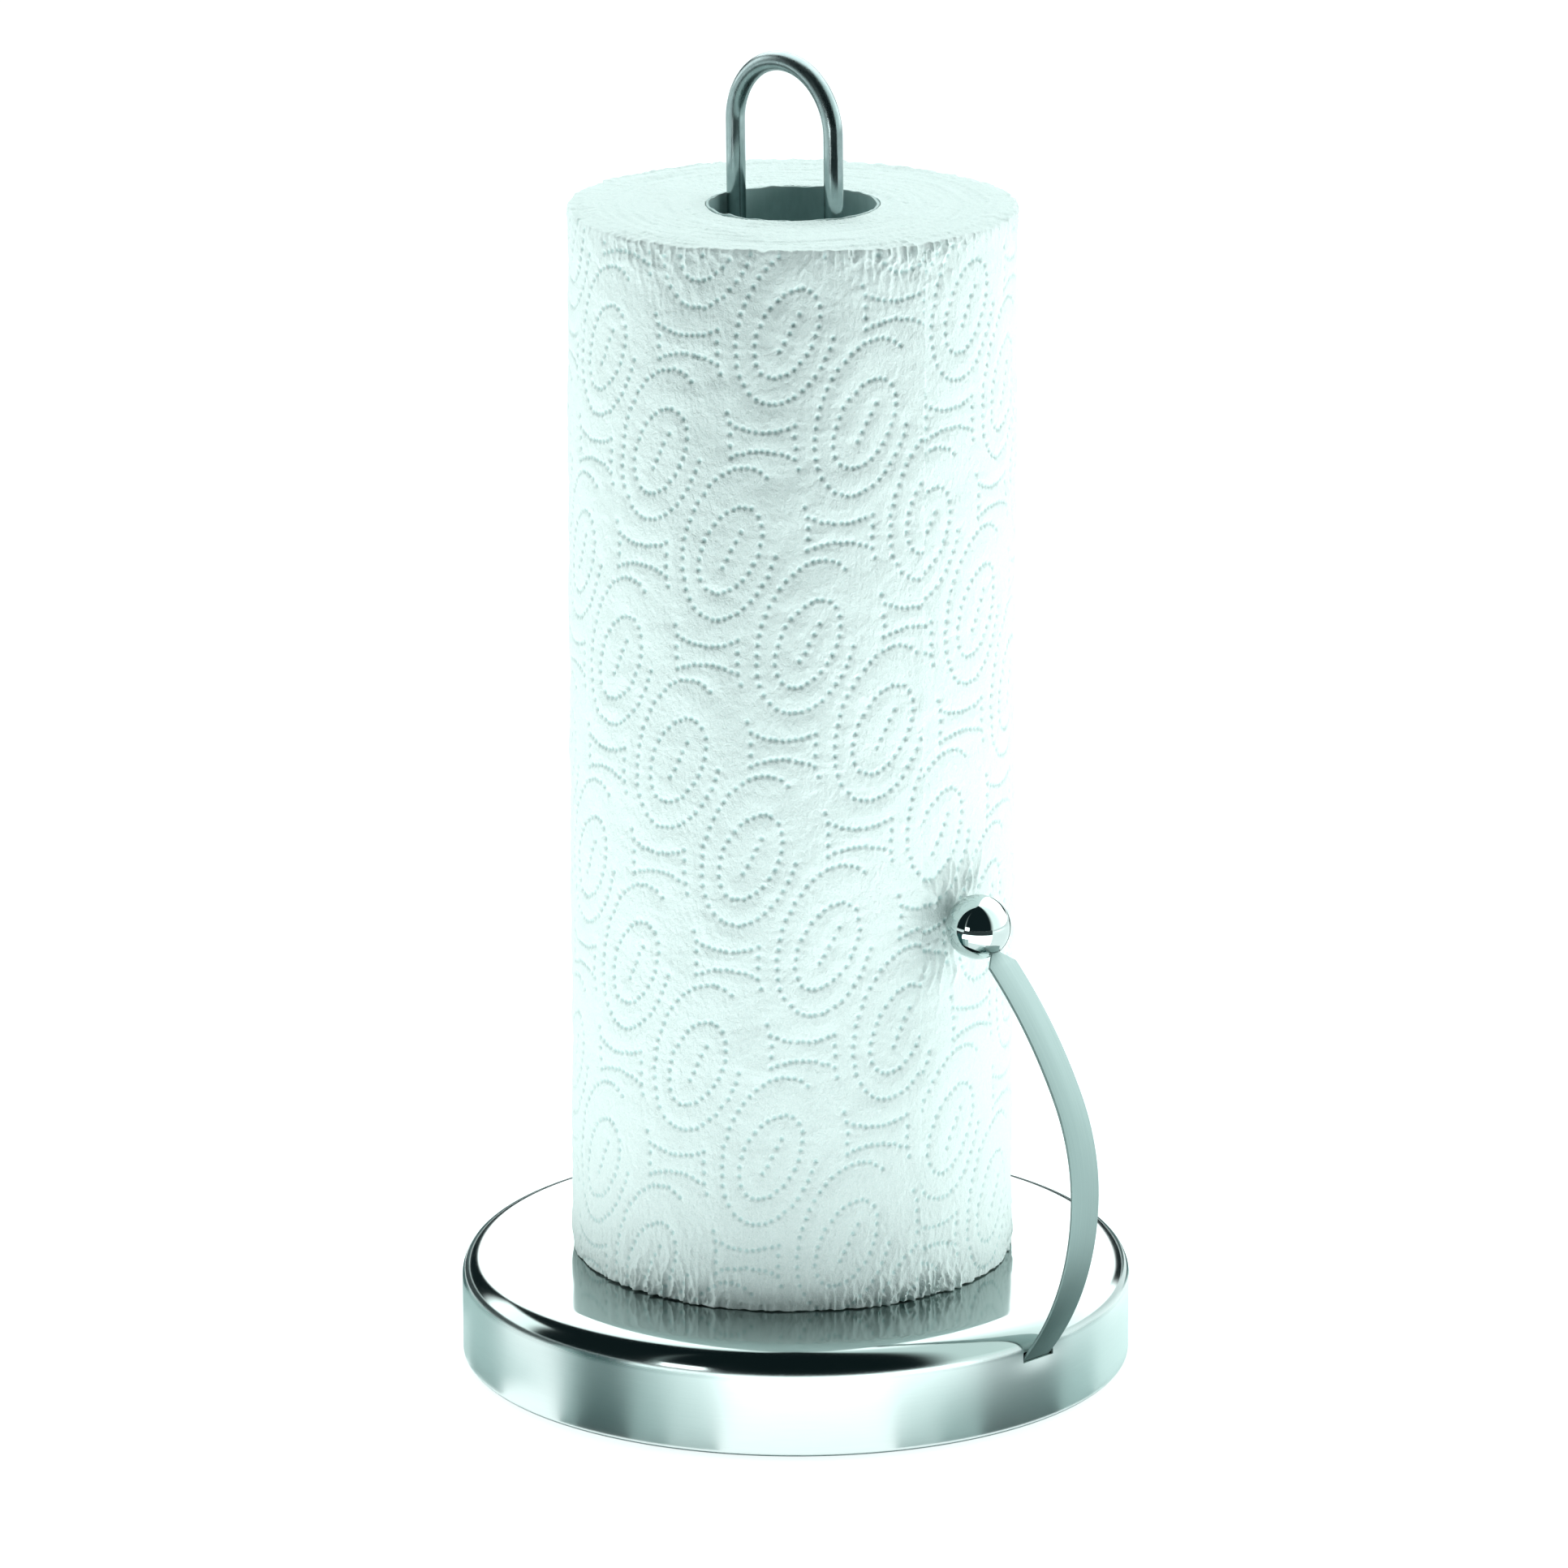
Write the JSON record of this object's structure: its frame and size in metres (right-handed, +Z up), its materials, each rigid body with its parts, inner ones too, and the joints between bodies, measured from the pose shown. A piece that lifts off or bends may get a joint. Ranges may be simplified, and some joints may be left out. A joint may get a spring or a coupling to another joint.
{
  "type": "paper towel holder",
  "caption": "Countertop paper towel holder: weighted round steel base, bent-wire spindle loop and a bowed spring arm with a ball tip, loaded with an embossed roll.",
  "frame": {"origin": "centre of the base's underside, on the worktop", "axes": "+Z up, +X from the spindle towards the spring arm; the wire loop and the arm lie in the XZ plane"},
  "size_m": [0.1918, 0.176, 0.3485],
  "materials": {
    "polished_steel": "polished",
    "bright_wire": "polished",
    "satin_strip": "satin",
    "ball_chrome": "polished",
    "weight_iron": "matte",
    "plated_steel": "satin",
    "foam_rubber": "matte",
    "core_board": "matte",
    "towel_paper": "matte"
  },
  "bodies": {
    "base": {"base_cover": "polished_steel", "base_weight": "weight_iron", "bottom_plate": "plated_steel", "non_slip_pad": "foam_rubber", "spindle_loop": "bright_wire", "spindle_sleeve_left": "plated_steel", "spindle_sleeve_right": "plated_steel", "spindle_washer_left": "plated_steel", "spindle_washer_right": "plated_steel", "spindle_lock_washer_left": "plated_steel", "spindle_lock_washer_right": "plated_steel", "spindle_nut_left": "plated_steel", "spindle_nut_right": "plated_steel", "arm_root": "satin_strip", "arm_clamp_plate": "plated_steel", "arm_clamp_screw_inner": "plated_steel", "arm_clamp_screw_outer": "plated_steel"},
    "arm": {"spring_arm": "satin_strip", "arm_ball": "ball_chrome"},
    "core": {"cardboard_core": "core_board"},
    "paper": {"paper_roll": "towel_paper"}
  },
  "joints": [
    {"name": "arm_flex", "type": "hinge", "parent": "base", "child": "arm", "pos_m": [0.088, 0, 0.0207], "axis": [0, 1, 0], "range_deg": [0, 18], "stiffness_Nm_per_rad": 0.8, "springref_deg": -20.05},
    {"name": "roll_lift", "type": "slide", "parent": "base", "child": "core", "axis": [0, 0, 1], "range_m": [0, 0.33]},
    {"name": "roll_turn", "type": "hinge", "parent": "core", "child": "paper", "pos_m": [-0.0012, 0, 0.1694], "axis": [0, 0, 1], "continuous": true}
  ]
}
